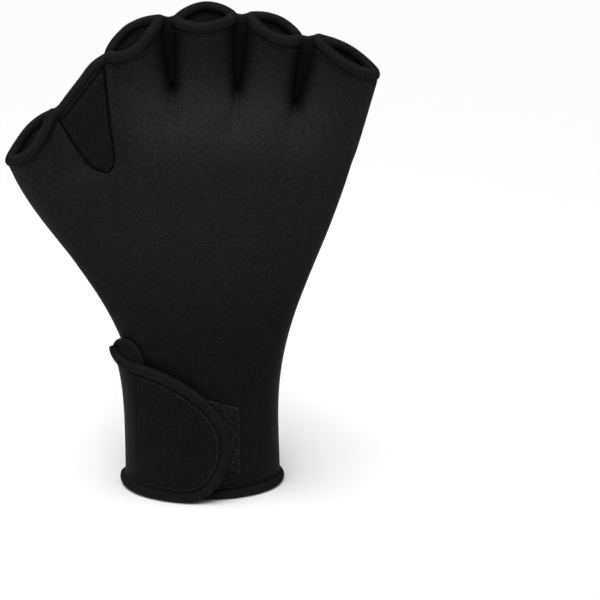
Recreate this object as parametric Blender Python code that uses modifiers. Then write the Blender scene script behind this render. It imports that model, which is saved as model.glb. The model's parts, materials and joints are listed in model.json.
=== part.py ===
"""Left-hand webbed swim glove: a hollow neoprene shell with open thumb and finger tubes, webs and a wrist strap.

Metres, +Z up, palm towards -Y, thumb towards -X. The origin is the centre of the cuff's base.
"""

import math

import bmesh
import bpy
from mathutils import Vector

# Cuff and cloth
CUFF_WIDTH = 0.0656
CUFF_DEPTH = 0.0456
WALL = 0.0026
GAP = 0.0004
TAPE_RADIUS = 0.0022
TAPE_HEIGHT = 0.0044
TAPE_BASE = 0.0030
TAPE_BULGE = (0.2, 0.75)

# Hand outline
RIM_HEIGHT = 0.2071
THUMB_SPAN = 0.0830
LITTLE_SPAN = 0.0764
WRIST_DEPTH = 0.0436
PALM_DEPTH = 0.0395
KNUCKLE_DEPTH = 0.030
FINGER_DEPTH = 0.0225
TUBE_FULLNESS = 0.75
PALM_FULLNESS = 0.75
WEB_THICKNESS = 0.0052
WEB_SLOT = 0.0056
WEB_TIP = 0.0008
WEB_FLARE = 0.0080
BACK_RISE = 0.0045
PALM_DROP = 0.0042

# Wrist strap, its slit and the patch under it
STRAP_THICKNESS = 0.0024
STRAP_STAND = 0.0040
STRAP_REACH = 0.0133
STRAP_SHOULDER = 0.0380
STRAP_HEM_START = 0.0080
STRAP_HEIGHT = 0.0640
STRAP_TIP_HEIGHT = 0.0270
STRAP_HEM = 0.0003
STRAP_ROOT_TURN = 26.0
STRAP_CURVE = (1.75, 0.5)
PATCH_THICKNESS = 0.0010
PATCH_WIDTH = 0.032
PATCH_RIGHT = 0.0151
PATCH_BOTTOM = 0.0122
PATCH_HEIGHT = 0.0306
PATCH_SLANT = 0.0110
TAB_RISE = 0.0066
TAB_LEAN = 0.0030
TAB_TURN = (10.0, 45.0)

# Grid of the shell: rows from cuff to rim, columns across each finger
ROWS = 20
SEGMENTS = 6
COLUMNS = 5 * SEGMENTS

# Outer edges of the hand: share of the rows, share of the rim's height, share of the way from cuff to rim sideways
THUMB_EDGE = (
    (0.00, 0.000, 0.000),
    (0.24, 0.290, -0.010),
    (0.36, 0.430, 0.060),
    (0.48, 0.570, 0.235),
    (0.60, 0.715, 0.505),
    (0.72, 0.835, 0.750),
    (0.86, 0.925, 0.905),
    (1.00, 1.000, 1.000),
)
LITTLE_EDGE = (
    (0.00, 0.000, 0.000),
    (0.16, 0.164, -0.005),
    (0.28, 0.280, 0.040),
    (0.40, 0.400, 0.160),
    (0.52, 0.520, 0.340),
    (0.64, 0.640, 0.540),
    (0.80, 0.800, 0.765),
    (1.00, 1.000, 1.000),
)

# Height of the hand's outer corners, as shares of RIM_HEIGHT
THUMB_CORNER = 0.710
LITTLE_CORNER = 0.890

# Webs: row of the crotch, rows over which the groove sinks in, crotch sideways and up, top of the left and right
# edge sideways and up, slot width at the top and flare. Sideways are shares of the span on that side, up shares of
# RIM_HEIGHT, slot of WEB_SLOT and flare of WEB_FLARE.
WEBS = {
    "thumb_web": dict(
        row=14, fade=3.2, crotch=(-0.500, 0.698), left=(-0.725, 0.809), right=(-0.475, 0.928), slot=0.0, flare=1.0
    ),
    "web_index_middle": dict(
        row=17, fade=2.0, crotch=(-0.127, 0.860), left=(-0.148, 1.000), right=(-0.148, 1.000), slot=0.86, flare=0.0
    ),
    "web_middle_ring": dict(
        row=17, fade=2.0, crotch=(0.214, 0.855), left=(0.243, 1.006), right=(0.243, 1.006), slot=0.90, flare=0.0
    ),
    "web_ring_little": dict(
        row=17, fade=2.0, crotch=(0.530, 0.831), left=(0.606, 0.962), right=(0.606, 0.962), slot=1.0, flare=0.0
    ),
}
WEB_NAMES = tuple(WEBS)

# Fingers: depth of the tube, dip of its palm-side rim and rise of its back rim, as shares of FINGER_DEPTH,
# PALM_DROP and BACK_RISE
FINGERS = {
    "thumb": dict(depth=1.00, drop=1.0, rise=0.6),
    "index": dict(depth=0.98, drop=1.0, rise=0.8),
    "middle": dict(depth=1.02, drop=0.5, rise=0.95),
    "ring": dict(depth=0.98, drop=0.55, rise=0.55),
    "little": dict(depth=0.90, drop=0.5, rise=0.45),
}
FINGER_NAMES = tuple(FINGERS)

# Half-depth of the hand: share of the rows, and the size that it follows
DEPTHS = (
    (0.00, CUFF_DEPTH),
    (0.25, WRIST_DEPTH),
    (0.50, PALM_DEPTH),
    (0.80, KNUCKLE_DEPTH),
    (1.00, FINGER_DEPTH),
)

SHELL_BASE = TAPE_HEIGHT + GAP
TAPE_OFFSET = TAPE_RADIUS + 1.5 * GAP

# Thickness of the cloth along the section at a folded edge, as a share of WALL
FOLD_WALL = 1.25

# Depth of the saddle inside the shell above which two fingers part, as a share of WALL
SADDLE = 1.3

# Lowest share of the height from the cuff to the rim at which the rims begin to slant
RIM_START = 0.7

NEOPRENE = (0.012, 0.012, 0.013, 1.0)
TAPE = (0.010, 0.010, 0.011, 1.0)
LOOP_PILE = (0.008, 0.008, 0.008, 1.0)


def make_material(name, colour, roughness):
    material = bpy.data.materials.new(name)
    material.use_nodes = True
    shader = material.node_tree.nodes["Principled BSDF"]
    shader.inputs["Base Color"].default_value = colour
    shader.inputs["Roughness"].default_value = roughness
    shader.inputs["Metallic"].default_value = 0.0
    material.diffuse_color = colour
    return material


def mix(low, high, share):
    return low + (high - low) * share


def ease(share):
    share = min(1.0, max(0.0, share))
    return share * share * (3.0 - 2.0 * share)


def smooth_table(table, at):
    """Catmull-Rom curve through the table's rows, read at a value of its first column."""
    last = len(table) - 1
    i = max(0, min(last - 1, sum(1 for row in table if row[0] <= at) - 1))
    start, end = table[i], table[i + 1]
    span = end[0] - start[0]
    t = (at - start[0]) / span
    result = []
    for column in range(1, len(start)):
        before = table[max(0, i - 1)]
        after = table[min(last, i + 2)]
        slope_in = (end[column] - before[column]) / (end[0] - before[0]) * span
        slope_out = (after[column] - start[column]) / (after[0] - start[0]) * span
        result.append(
            (2 * t**3 - 3 * t**2 + 1) * start[column]
            + (t**3 - 2 * t**2 + t) * slope_in
            + (3 * t**2 - 2 * t**3) * end[column]
            + (t**3 - t**2) * slope_out
        )
    return result


def span_of(share):
    return THUMB_SPAN if share < 0 else LITTLE_SPAN


def hand_point(place):
    """A table's pair of shares as a place in the front view."""
    sideways, up = place
    return Vector((sideways * span_of(sideways), up * RIM_HEIGHT))


def cuff_x(column):
    return -CUFF_WIDTH / 2 * math.cos(math.pi * column / COLUMNS)


def outer_edge(row, table, side, span, corner):
    """Point of the hand's outline at a row, on the thumb's side (-1) or the little finger's (1)."""
    up, sideways = smooth_table(table, row / ROWS)
    x = side * mix(CUFF_WIDTH / 2, span, sideways)
    return Vector((x, mix(SHELL_BASE, corner * RIM_HEIGHT, up)))


def web_edge(number, row, side):
    """Point of a web's line at a row; above its crotch, on the left (-1) or right (1) edge of its slot."""
    web = WEBS[WEB_NAMES[number]]
    crotch = hand_point(web["crotch"])
    if row <= web["row"]:
        share = row / web["row"]
        x = mix(cuff_x((number + 1) * SEGMENTS), crotch.x, share * share)
        return Vector((x, mix(SHELL_BASE, crotch.y, share)))
    share = (row - web["row"]) / (ROWS - web["row"])
    point = crotch.lerp(hand_point(web["left"] if side < 0 else web["right"]), share)
    flare = web["flare"] * WEB_FLARE * (1 - share) ** 1.5 * share**0.25
    point.x += side * (web["slot"] * WEB_SLOT / 2 * share**0.7 + flare)
    return point


def finger_edges(finger, row):
    left = outer_edge(row, THUMB_EDGE, -1, THUMB_SPAN, THUMB_CORNER) if finger == 0 else web_edge(finger - 1, row, 1)
    right = outer_edge(row, LITTLE_EDGE, 1, LITTLE_SPAN, LITTLE_CORNER) if finger == 4 else web_edge(finger, row, -1)
    return left, right


def finger_weight(finger, row, across):
    """How far the section has turned from the whole hand's to the finger's own: 0 at the wrist, 1 above the crotch."""
    sides = []
    for number in (finger - 1, finger):
        if 0 <= number < len(WEB_NAMES):
            web = WEBS[WEB_NAMES[number]]
            sides.append(ease((row - web["row"]) / web["fade"] + 1))
    return mix(sides[0], sides[-1], across)


def outer_point(finger, segment, row, side):
    """Point of the shell's outer face, on the palm side (-1) or the back (1)."""
    left, right = finger_edges(finger, row)
    column = finger * SEGMENTS + segment
    angle = math.pi * column / COLUMNS
    first, last = (math.cos(math.pi * (finger + end) * SEGMENTS / COLUMNS) for end in (0, 1))
    cuff_share = (first - math.cos(angle)) / (first - last)
    tube_share = (1 - math.cos(math.pi * segment / SEGMENTS)) / 2
    weight = finger_weight(finger, row, segment / SEGMENTS)
    across = mix(cuff_share, tube_share, weight)
    place = left.lerp(right, across)
    shape = FINGERS[FINGER_NAMES[finger]]
    fullness = mix(1.0, PALM_FULLNESS, ease(row / ROWS * 2))
    hand_depth = smooth_table(DEPTHS, row / ROWS)[0] / 2 * max(0.0, math.sin(angle)) ** fullness
    edge_depth = WEB_THICKNESS / 2 + 2 * GAP
    side_depth = mix(0.0 if finger == 0 else edge_depth, 0.0 if finger == 4 else edge_depth, across)
    bulge = math.sin(math.pi * across) ** TUBE_FULLNESS
    tube_depth = side_depth + (shape["depth"] * FINGER_DEPTH / 2 - side_depth) * bulge
    depth = mix(hand_depth, tube_depth, weight)
    lift = shape["rise"] * BACK_RISE if side > 0 else -shape["drop"] * PALM_DROP
    rim = ease((row / ROWS - RIM_START) / (1 - RIM_START)) * math.sin(math.pi * across)
    along = (right - left).normalized()
    place += Vector((-along.y, along.x)) * lift * rim
    return Vector((place.x, side * depth, place.y))


def is_joined(number, row):
    """Whether the fingers on both sides of a web share its line at a row."""
    return not 0 <= number < len(WEB_NAMES) or row <= WEBS[WEB_NAMES[number]]["row"]


def inner_point(finger, segment, row, side):
    """Point of the shell's inner face: the outer one moved a wall's thickness inwards, square to the section."""
    point = outer_point(finger, segment, row, side)
    at_end = segment in (0, SEGMENTS)
    number = finger - 1 if segment == 0 else finger
    inwards = 1 if segment == 0 else -1
    if at_end and not 0 <= number < len(WEB_NAMES):
        return Vector((point.x + inwards * FOLD_WALL * WALL, 0.0, point.z))
    if at_end and not is_joined(number, row):
        return Vector((point.x + inwards * FOLD_WALL * WALL, side * (abs(point.y) - WALL), point.z))
    before = outer_point(finger, segment - 1, row, side) if segment else outer_point(finger - 1, SEGMENTS - 1, row, side)
    if segment < SEGMENTS:
        after = outer_point(finger, segment + 1, row, side)
    else:
        after = outer_point(finger + 1, 1, row, side)
    along = after - before
    outwards = Vector((side * -along.y, side * along.x)).normalized()
    depth = max(abs(point.y) - abs(outwards.y) * WALL, WALL / 4)
    result = Vector((point.x - outwards.x * WALL, side * depth, point.z))
    if at_end:
        crotch_row = WEBS[WEB_NAMES[number]]["row"]
        result.x = point.x
        result.z -= SADDLE * WALL * max(0.0, 1 - (crotch_row - row) / 2)
    return result


def grid_key(finger, segment, row, side):
    """One key for each vertex of a face of the shell, so that neighbouring quads share it."""
    if (finger, segment) in ((0, 0), (4, SEGMENTS)):
        side = 0
    if segment == SEGMENTS and finger < 4 and is_joined(finger, row):
        return finger + 1, 0, row, side
    return finger, segment, row, side


def shell_quads():
    """Corners of the quads of one face of the shell, as grid keys."""
    quads = []
    for side in (-1, 1):
        for finger in range(5):
            for row in range(ROWS):
                for segment in range(SEGMENTS):
                    corners = ((segment, row), (segment + 1, row), (segment + 1, row + 1), (segment, row + 1))
                    quads.append([grid_key(finger, s, r, side) for s, r in corners])
    for number, name in enumerate(WEB_NAMES):
        for row in range(WEBS[name]["row"], ROWS):
            for finger, segment in ((number, SEGMENTS), (number + 1, 0)):
                corners = ((row, -1), (row, 1), (row + 1, 1), (row + 1, -1))
                quads.append([grid_key(finger, segment, r, side) for r, side in corners])
    return quads


def rim_loops():
    """The shell's open edges as lists of grid keys: the cuff's and one for each finger."""
    loops = []
    cuff = []
    for side in (-1, 1):
        line = [(f, s) for f in range(5) for s in range(SEGMENTS + 1)]
        line = line if side < 0 else line[::-1]
        cuff += [grid_key(f, s, 0, side) for f, s in line]
    loops.append(cuff)
    for finger in range(5):
        front = [grid_key(finger, s, ROWS, -1) for s in range(SEGMENTS + 1)]
        back = [grid_key(finger, s, ROWS, 1) for s in range(SEGMENTS, -1, -1)]
        loops.append(front + back)
    return [without_repeats(loop) for loop in loops]


def without_repeats(loop):
    kept = []
    for key in loop:
        if not kept or kept[-1] != key:
            kept.append(key)
    if kept[0] == kept[-1]:
        kept.pop()
    return kept


def new_object(name, bm, material, smooth_angle=50.0):
    bmesh.ops.recalc_face_normals(bm, faces=bm.faces)
    mesh = bpy.data.meshes.new(name)
    bm.to_mesh(mesh)
    bm.free()
    obj = bpy.data.objects.new(name, mesh)
    PARTS.objects.link(obj)
    mesh.materials.append(material)
    mesh.shade_smooth()
    mesh.set_sharp_from_angle(angle=math.radians(smooth_angle))
    return obj


def make_glove_body(material):
    bm = bmesh.new()
    vertices = {}
    for face, place in (("outer", outer_point), ("inner", inner_point)):
        for quad in shell_quads():
            corners = []
            for key in quad:
                if (face, key) not in vertices:
                    finger, segment, row, side = key
                    vertices[face, key] = bm.verts.new(place(finger, segment, row, side or -1))
                corners.append(vertices[face, key])
            bm.faces.new(corners)
    for loop in rim_loops():
        for start, end in zip(loop, loop[1:] + loop[:1]):
            bm.faces.new([vertices[f, k] for f, k in (("outer", start), ("outer", end), ("inner", end), ("inner", start))])
    return new_object("glove_body", bm, material)


def loft(name, sections, material, closed=False):
    """Closed solid through sections of equally many points; it is a ring if closed."""
    bm = bmesh.new()
    rings = [[bm.verts.new(point) for point in section] for section in sections]
    pairs = list(zip(rings, rings[1:]))
    if closed:
        pairs.append((rings[-1], rings[0]))
    else:
        bm.faces.new(rings[0])
        bm.faces.new(rings[-1])
    for low, high in pairs:
        for i in range(len(low)):
            k = (i + 1) % len(low)
            bm.faces.new((low[i], low[k], high[k], high[i]))
    return new_object(name, bm, material)


def make_web(number, material):
    """Flat double layer of cloth in the slot between two fingers, from just above the crotch to the rim."""
    name = WEB_NAMES[number]
    crotch_row = WEBS[name]["row"]

    def station(row):
        low = math.floor(row)
        high = min(low + 1, ROWS)
        return [web_edge(number, low, side).lerp(web_edge(number, high, side), row - low) for side in (-1, 1)]

    left, right = station(crotch_row + 1)
    first = crotch_row + (WEB_TIP + 2 * GAP) / (right.x - left.x)
    sections = []
    for row in [first, *range(crotch_row + 1, ROWS + 1)]:
        left, right = station(row)
        left.x += GAP
        right.x -= GAP
        half = WEB_THICKNESS / 2
        corners = ((left, -half), (right, -half), (right, half), (left, half))
        sections.append([Vector((place.x, y, place.y)) for place, y in corners])
    return loft(name, sections, material)


def make_tape(name, points, material, cyclic):
    """Round bead of folded tape along a path."""
    curve = bpy.data.curves.new(name, "CURVE")
    curve.dimensions = "3D"
    curve.bevel_depth = TAPE_RADIUS
    curve.bevel_resolution = 2
    curve.use_fill_caps = True
    spline = curve.splines.new("POLY")
    spline.points.add(len(points) - 1)
    for slot, point in zip(spline.points, points):
        slot.co = (*point, 1.0)
    spline.use_cyclic_u = cyclic
    curve.materials.append(material)
    obj = bpy.data.objects.new(name, curve)
    PARTS.objects.link(obj)
    return obj


def smooth_path(points, cyclic, steps=2):
    """Catmull-Rom points through a path."""
    count = len(points)
    result = []
    for i in range(count if cyclic else count - 1):
        ends = [points[(i + k) % count] if cyclic else points[min(max(i + k, 0), count - 1)] for k in (-1, 0, 1, 2)]
        for step in range(steps):
            t = step / steps
            before, start, end, after = ends
            result.append(
                start
                + (end - before) * (t / 2)
                + (2 * before - 5 * start + 4 * end - after) * (t * t / 2)
                + (3 * start - before - 3 * end + after) * (t**3 / 2)
            )
    if not cyclic:
        result.append(points[-1])
    return result


def rim_centres(finger):
    """Centres of the tape over the wall's edge round a finger's opening, from the thumb's side over the palm."""
    keys = [(s, -1) for s in range(SEGMENTS + 1)] + [(s, 1) for s in range(SEGMENTS, -1, -1)]
    if finger == 4:
        keys.remove((SEGMENTS, 1))
    if finger == 0:
        keys.remove((0, 1))
    middles, ups = [], []
    for segment, side in keys:
        outer = outer_point(finger, segment, ROWS, side)
        middles.append((outer + inner_point(finger, segment, ROWS, side)) / 2)
        ups.append(outer - outer_point(finger, segment, ROWS - 1, side))
    centres = {}
    for i, (key, middle, up) in enumerate(zip(keys, middles, ups)):
        along = (middles[(i + 1) % len(keys)] - middles[i - 1]).normalized()
        centres[key] = middle + (up - along * up.dot(along)).normalized() * TAPE_OFFSET
    return centres


def make_finger_binding(finger, material):
    points = list(rim_centres(finger).values())
    return make_tape(f"{FINGER_NAMES[finger]}_binding", smooth_path(points, True), material, True)


def make_web_binding(number, material):
    """Tape on the top edge of a web, between the tapes of the two fingers."""
    left, right = web_edge(number, ROWS, -1), web_edge(number, ROWS, 1)
    along = (right - left).normalized()
    base = left + Vector((-along.y, along.x)) * TAPE_OFFSET
    ends = []
    for finger, segment, way in ((number, SEGMENTS, 1), (number + 1, 0, -1)):
        centre = rim_centres(finger)[segment, -1]
        reach = (Vector((centre.x, centre.z)) - base).dot(along) + way * TAPE_OFFSET
        place = base + along * reach
        ends.append(Vector((place.x, 0.0, place.y)))
    return make_tape(f"{WEB_NAMES[number]}_binding", ends, material, False)


def make_cuff_binding(material):
    """Tape round the cuff with a flat underside, which the glove stands on."""
    low, high = TAPE_BULGE
    half = [(TAPE_BASE / 2, 0.0), (TAPE_RADIUS, low * TAPE_HEIGHT), (TAPE_RADIUS, high * TAPE_HEIGHT), (WALL / 2, TAPE_HEIGHT)]
    profile = half + [(-out, z) for out, z in reversed(half)]
    sections = []
    for i in range(2 * COLUMNS):
        angle = math.pi * i / COLUMNS
        a = CUFF_WIDTH / 2 - WALL / 2
        b = CUFF_DEPTH / 2 - WALL / 2
        centre = Vector((-a * math.cos(angle), -b * math.sin(angle), 0.0))
        outwards = Vector((-math.cos(angle) / a, -math.sin(angle) / b, 0.0)).normalized()
        sections.append([centre + outwards * out + Vector((0.0, 0.0, z)) for out, z in profile])
    return loft("cuff_binding", sections, material, closed=True)


def wrist_point(turn, height, stand):
    """Point standing off the shell's outer face, at an angle round the wrist from the thumb's side (0) over the palm."""
    column = turn / 180.0 * COLUMNS
    side = -1 if column >= 0 else 1
    column = abs(column)
    places = []
    for whole in (math.floor(column), math.floor(column) + 1):
        finger, segment = divmod(whole, SEGMENTS)
        line = [outer_point(finger, segment, row, side) for row in range(ROWS // 2 + 1)]
        low = max(i for i, point in enumerate(line[:-1]) if i == 0 or point.z <= height)
        share = (height - line[low].z) / (line[low + 1].z - line[low].z)
        places.append(line[low].lerp(line[low + 1], share))
    point = places[0].lerp(places[1], column - math.floor(column))
    angle = math.radians(turn)
    a, b = CUFF_WIDTH / 2, CUFF_DEPTH / 2
    outwards = Vector((-math.cos(angle) / a, -math.sin(angle) / b, 0.0)).normalized()
    return Vector((point.x, point.y, height)) + outwards * stand


def turn_at(x, stand=STRAP_STAND):
    """Angle round the wrist at a place across the palm."""
    return math.degrees(math.acos(-x / (CUFF_WIDTH / 2 + stand)))


def strap_span(turn, inset):
    """Lowest and highest point of the strap at an angle round the wrist, its edge moved in by inset."""
    x = -(CUFF_WIDTH / 2 + STRAP_STAND) * math.cos(math.radians(turn))
    middle = STRAP_TIP_HEIGHT
    top = STRAP_HEIGHT - inset
    bottom = STRAP_HEM + inset
    tip = STRAP_REACH - inset
    shoulder = -STRAP_SHOULDER
    hem_start = -STRAP_HEM_START
    share = max(0.0, min(1.0, (x - shoulder) / (tip - shoulder)))
    low_share = max(0.0, min(1.0, (x - hem_start) / (tip - hem_start)))
    across, up = STRAP_CURVE
    high = middle + (top - middle) * (1 - share**across) ** up
    low = middle - (middle - bottom) * math.sqrt(1 - low_share**2)
    return low, high


def strap_turns(start, inset, end=0.0, count=18):
    """Angles round the wrist of the strap's stations, closer together towards its tip."""
    tip = turn_at(STRAP_REACH - inset - end)
    return [mix(start, tip, math.sin(math.pi / 2 * i / count)) for i in range(count + 1)]


def make_sheet(name, grid, thickness, material):
    """Plate of cloth: an open surface with a thickness."""
    bm = bmesh.new()
    vertices = [[bm.verts.new(point) for point in line] for line in grid]
    for low, high in zip(vertices, vertices[1:]):
        for i in range(len(low) - 1):
            bm.faces.new((low[i], low[i + 1], high[i + 1], high[i]))
    obj = new_object(name, bm, material)
    wall = obj.modifiers.new("Wall", "SOLIDIFY")
    wall.thickness = thickness
    wall.offset = 0.0
    wall.use_even_offset = True
    return obj


def make_strap(material):
    """Strap that lies close to the cuff at its root and stands clear of the patch and the tape further on."""
    inset = 2 * TAPE_RADIUS + GAP
    rows = 6
    grid = []
    for turn in strap_turns(-STRAP_ROOT_TURN, inset, end=GAP):
        low, high = strap_span(turn, inset)
        close = STRAP_THICKNESS / 2 + GAP
        stand = mix(close, STRAP_STAND, ease((turn + STRAP_ROOT_TURN) / STRAP_ROOT_TURN))
        grid.append([wrist_point(turn, mix(low, high, i / rows), stand) for i in range(rows + 1)])
    return make_sheet("wrist_strap", grid, STRAP_THICKNESS, material)


def make_strap_binding(material):
    """Tape round the strap, from the thumb's side over the upper edge, round the tip and back along the hem."""
    inset = TAPE_RADIUS
    turns = strap_turns(0.0, inset)
    upper = [(turn, strap_span(turn, inset)[1]) for turn in turns]
    lower = [(turn, strap_span(turn, inset)[0]) for turn in turns[:-1]]
    points = [wrist_point(turn, height, STRAP_STAND) for turn, height in upper + lower[::-1]]
    return make_tape("strap_binding", points, material, False)


def tab_point(share, rise):
    """Point of the folded slit end: along its arch from the thumb's side to the palm, and up from the strap."""
    turn = mix(*TAB_TURN, share)
    foot = strap_span(turn, 0.0)[1] + GAP
    stand = STRAP_STAND + TAB_LEAN * (1 - share) * rise / TAB_RISE
    return wrist_point(turn, foot + rise, stand)


def make_slit_tab(material):
    """Half-round end of the wrist slit, folded out over the strap."""
    columns, rows = 6, 3
    height = TAB_RISE - TAPE_OFFSET - GAP
    grid = []
    for i in range(columns + 1):
        angle = math.radians(mix(20.0, 160.0, i / columns))
        share = 0.5 - 0.36 * math.cos(angle)
        grid.append([tab_point(share, height * math.sin(angle) * k / rows) for k in range(rows + 1)])
    return make_sheet("slit_tab", grid, STRAP_THICKNESS, material)


def make_slit_binding(material):
    """Tape round the slit's folded end, from foot to foot."""
    points = []
    for i in range(13):
        angle = math.pi * i / 12
        rise = TAPE_RADIUS + (TAB_RISE - TAPE_RADIUS) * math.sin(angle)
        points.append(tab_point((1 - math.cos(angle)) / 2, rise))
    return make_tape("slit_binding", points, material, False)


def make_loop_patch(material):
    """Thin rectangle of pile on the palm side of the cuff, partly under the strap."""
    across, rows = 8, 5
    grid = []
    for i in range(across + 1):
        x = PATCH_RIGHT - PATCH_WIDTH * (1 - i / across)
        turn = turn_at(x, stand=0.0)
        bottom = PATCH_BOTTOM + PATCH_SLANT * (1 - i / across)
        line = [bottom + PATCH_HEIGHT * k / rows for k in range(rows + 1)]
        grid.append([wrist_point(turn, height, GAP + PATCH_THICKNESS / 2) for height in line])
    return make_sheet("loop_patch", grid, PATCH_THICKNESS, material)


def main():
    neoprene = make_material("neoprene", NEOPRENE, 0.62)
    tape = make_material("tape", TAPE, 0.58)
    pile = make_material("loop_pile", LOOP_PILE, 0.95)
    make_glove_body(neoprene)
    for number in range(len(WEB_NAMES)):
        make_web(number, neoprene)
        make_web_binding(number, tape)
    for finger in range(len(FINGER_NAMES)):
        make_finger_binding(finger, tape)
    make_cuff_binding(tape)
    make_strap(neoprene)
    make_strap_binding(tape)
    make_slit_tab(neoprene)
    make_slit_binding(tape)
    make_loop_patch(pile)


for old in list(bpy.data.objects):
    bpy.data.objects.remove(old)
PARTS = bpy.data.collections.new("swim_glove")
bpy.context.scene.collection.children.link(PARTS)
main()
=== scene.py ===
"""Looks of a webbed swim glove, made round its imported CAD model.

The file has the layout of a Blender add-on: settings, one operator for each group of pieces, and a panel in
the sidebar that lists them. Run as a script, it registers them and calls the operators in order.
"""

import json
import math

import bmesh
import bpy
from bpy.props import FloatProperty, IntProperty, PointerProperty
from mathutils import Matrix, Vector, noise
from mathutils.bvhtree import BVHTree
from mathutils.kdtree import KDTree

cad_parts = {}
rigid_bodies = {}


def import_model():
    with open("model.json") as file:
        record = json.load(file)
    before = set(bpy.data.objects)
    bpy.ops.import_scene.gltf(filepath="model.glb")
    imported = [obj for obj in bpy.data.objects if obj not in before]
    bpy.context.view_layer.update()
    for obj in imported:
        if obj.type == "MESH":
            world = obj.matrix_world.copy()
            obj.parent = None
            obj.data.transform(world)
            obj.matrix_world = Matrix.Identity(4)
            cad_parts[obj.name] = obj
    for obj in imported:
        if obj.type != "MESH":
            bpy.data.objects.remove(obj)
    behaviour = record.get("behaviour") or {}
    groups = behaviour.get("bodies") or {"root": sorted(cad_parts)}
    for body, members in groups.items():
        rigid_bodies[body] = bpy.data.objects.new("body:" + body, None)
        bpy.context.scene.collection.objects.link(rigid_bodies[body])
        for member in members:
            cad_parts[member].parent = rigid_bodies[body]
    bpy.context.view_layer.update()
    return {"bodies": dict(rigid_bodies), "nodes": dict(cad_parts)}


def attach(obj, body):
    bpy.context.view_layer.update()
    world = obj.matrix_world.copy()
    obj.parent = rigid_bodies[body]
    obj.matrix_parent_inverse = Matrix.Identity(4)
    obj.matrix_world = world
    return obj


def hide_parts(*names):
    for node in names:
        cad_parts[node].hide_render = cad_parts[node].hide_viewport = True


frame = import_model()

bl_info = {
    "name": "Swim Glove",
    "version": (1, 0, 0),
    "blender": (4, 5, 0),
    "location": "View3D > Sidebar > Glove",
    "description": "Cloth, webs, tapes, stitches, strap and pile of a webbed swim glove",
    "category": "Object",
}

BODY = next(iter(frame["bodies"]))
FINGERS = ("thumb", "index", "middle", "ring", "little")
WEBS = ("web_index_middle", "web_middle_ring", "web_ring_little")

# Sizes of the CAD model that the pieces follow
WELD = 1e-5
BEAD_RADIUS = 0.0022
CUFF_HALF_WIDTH = 0.0328
CUFF_HALF_DEPTH = 0.0228
WALL = 0.0026
STRAP_STAND = 0.0040
STRAP_REACH = 0.0133
STRAP_SHOULDER = 0.0380
STRAP_HEM_START = 0.0080
STRAP_HEIGHT = 0.0640
STRAP_TIP_HEIGHT = 0.0270
STRAP_HEM = 0.0003
STRAP_CURVE = (1.75, 0.5)

# Start of the strap's tape at the slit's tip, and the slit's own edge above it
STRAP_NUB = (
    (-0.0394, -0.0050, 0.0657),
    (-0.0389, -0.0064, 0.0644),
    (-0.0377, -0.0086, 0.0630),
    (-0.0352, -0.0125, 0.0616),
    (-0.0315, -0.0163, 0.0608),
)
SLIT_ARCH = (
    (-0.0393, -0.0058, 0.0658),
    (-0.0384, -0.0070, 0.0681),
    (-0.0366, -0.0092, 0.0702),
    (-0.0343, -0.0120, 0.0713),
    (-0.0320, -0.0139, 0.0713),
    (-0.0293, -0.0158, 0.0698),
    (-0.0273, -0.0169, 0.0672),
    (-0.0261, -0.0173, 0.0638),
    (-0.0258, -0.0174, 0.0605),
)
SLIT_TAPE_RADIUS = 0.0009

# Angles where the strap's tape meets its upper and lower edge, and its end along the cuff as angle and stand
STRAP_TAPE_TURNS = (48.0, -4.0)
STRAP_TAPE_END = ((-12.0, 0.0028), (-20.0, 0.0016), (-28.0, 0.0002))
TAB_TURNS = (46.0, 50.0)

# Ends of the strap's straight seam as angle and height, where its other seams begin, and how deep they sink
STRAP_SEAM = ((34.7, 0.0110), (41.0, 0.0560))
GROOVE_START = -0.0300
COVER_START = -0.0275
SEAM_SINK = 0.00018
COVER_SINK = 0.00010

# Named inputs of the sewn lines
COVER_THREAD = {"Radius": 0.00027, "Rib Pitch": 0.00085, "Rib Depth": 0.28, "Sides": 7, "Samples": 5}
STRAP_GROOVE = {"Radius": 0.00024, "Rib Pitch": 0.0019, "Rib Depth": 0.35, "Sides": 6, "Samples": 4}
TONGUE_GROOVE = {"Radius": 0.00038, "Rib Pitch": 0.0016, "Rib Depth": 0.12, "Sides": 6, "Samples": 4}
TONGUE_GROOVE_DROP = 0.0011

# Depth of the tongue's edge, and of the flattened tubes beside it
TONGUE_DEPTH = 0.0033
FLAT_LEVEL = 0.0036

# Share of its depth that a web keeps at its foot and under its tape, and where on its way up it thins
WEB_FOOT_SHARE = 0.3
WEB_TOP_SHARE = 0.5
WEB_TOP_START = 0.82
WEB_TOP_FADE = 0.16

# Painted shade in the recessed webs and in the folds beside them
WEB_PAINTED_SHADE = -0.80
FOLD_PAINTED_SHADE = -0.62

# Heights over which the painted highlight rises to the palm and falls to the tips: start and length
PALM_RISE = (0.055, 0.075)
TIP_FALL = (0.175, 0.030)

# Height at which the cuff's lean ends
LEAN_TOP = 0.085

# The back rims of the openings: how near they are to their tape, and how far behind the opening's middle
RIM_REACH = 0.0045
RIM_BEHIND = 0.003

# Smoothing passes below the webs, and how deep the strap's root lies in the cuff
RELAX_PASSES = 160
STRAP_ROOT_SINK = 0.0006

# Centres of the painted highlights on the knuckles, and the round lower end of the tongue's seam, as places
# in the front view
KNUCKLES = ((-0.0205, 0.1700), (0.0033, 0.1715), (0.0250, 0.1720), (0.0440, 0.1660))
TONGUE_FOOT = (
    (-0.0497, 0.1520),
    (-0.0456, 0.1470),
    (-0.0411, 0.1448),
    (-0.0377, 0.1466),
    (-0.0364, 0.1518),
)

# Height up to which the shell's cloth within the tongue's seam has the tongue's faint painted highlight
TONGUE_TOP = 0.165

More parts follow.
